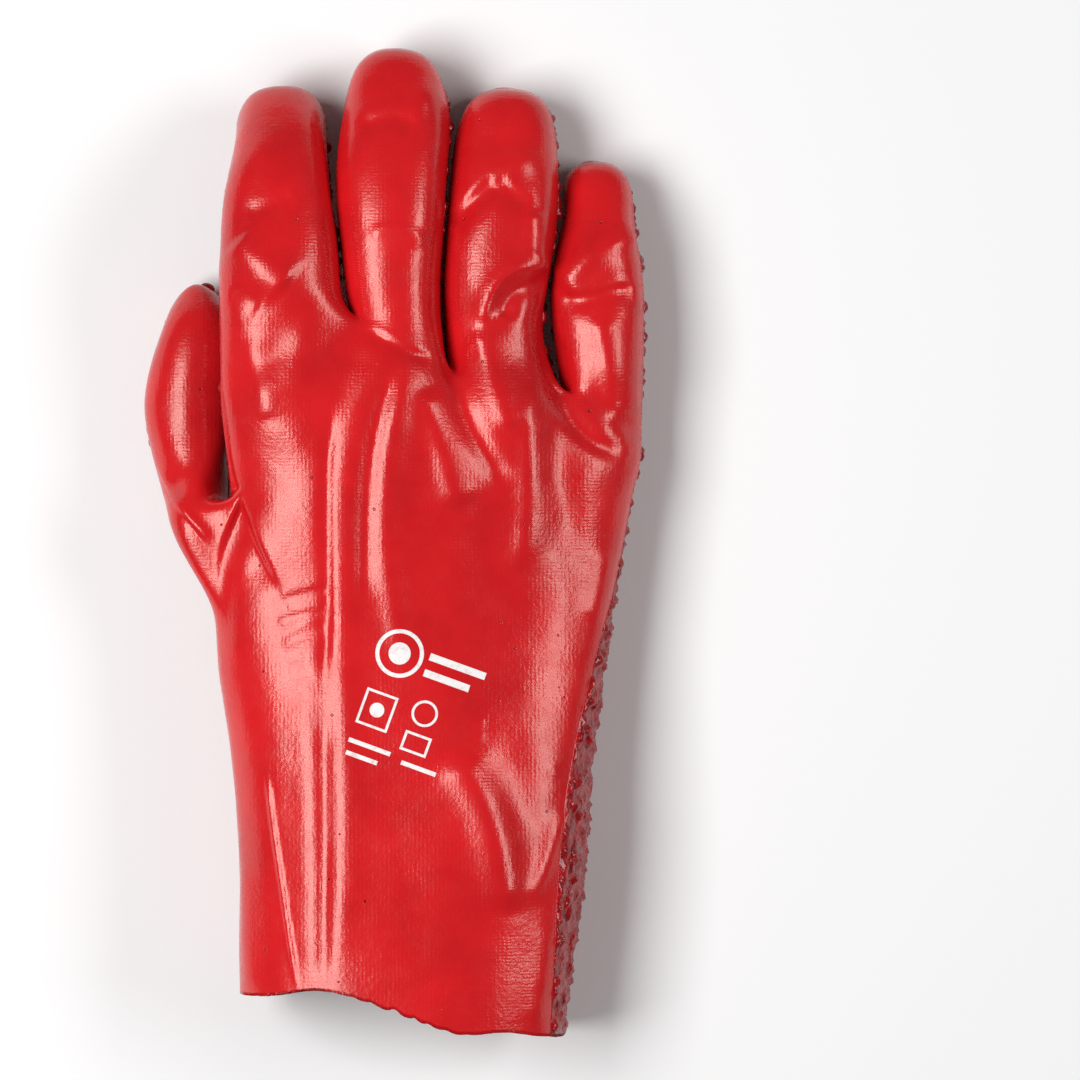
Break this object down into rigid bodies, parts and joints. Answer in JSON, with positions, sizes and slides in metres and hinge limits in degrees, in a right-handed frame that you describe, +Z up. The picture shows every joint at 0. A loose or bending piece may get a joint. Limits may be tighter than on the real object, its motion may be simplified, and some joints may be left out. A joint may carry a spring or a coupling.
{
  "type": "pvc coated work glove",
  "caption": "Right-hand coated work glove with a long open cuff, lying palm down: hollow from the cuff to every fingertip, smooth on the back and rough on the palm.",
  "frame": {"origin": "middle of the glove's footprint, on the surface that it lies on", "axes": "+Y from the cuff to the fingertips, +Z up out of the back of the hand, thumb on the -X side"},
  "size_m": [0.1372, 0.271, 0.0524],
  "materials": {
    "smooth_pvc": "glossy smooth coat with fine knit texture showing through",
    "rough_pvc": "glossy rough grip coat of small crumbs",
    "white_print": "white screen-printed mark on the back, a plain one here"
  },
  "bodies": {
    "root": {"smooth_back": "smooth_pvc", "rough_palm": "rough_pvc", "index_back": "smooth_pvc", "index_palm": "rough_pvc", "middle_back": "smooth_pvc", "middle_palm": "rough_pvc", "ring_back": "smooth_pvc", "ring_palm": "rough_pvc", "little_back": "smooth_pvc", "little_palm": "rough_pvc", "thumb_back": "smooth_pvc", "thumb_palm": "rough_pvc"}
  },
  "joints": []
}
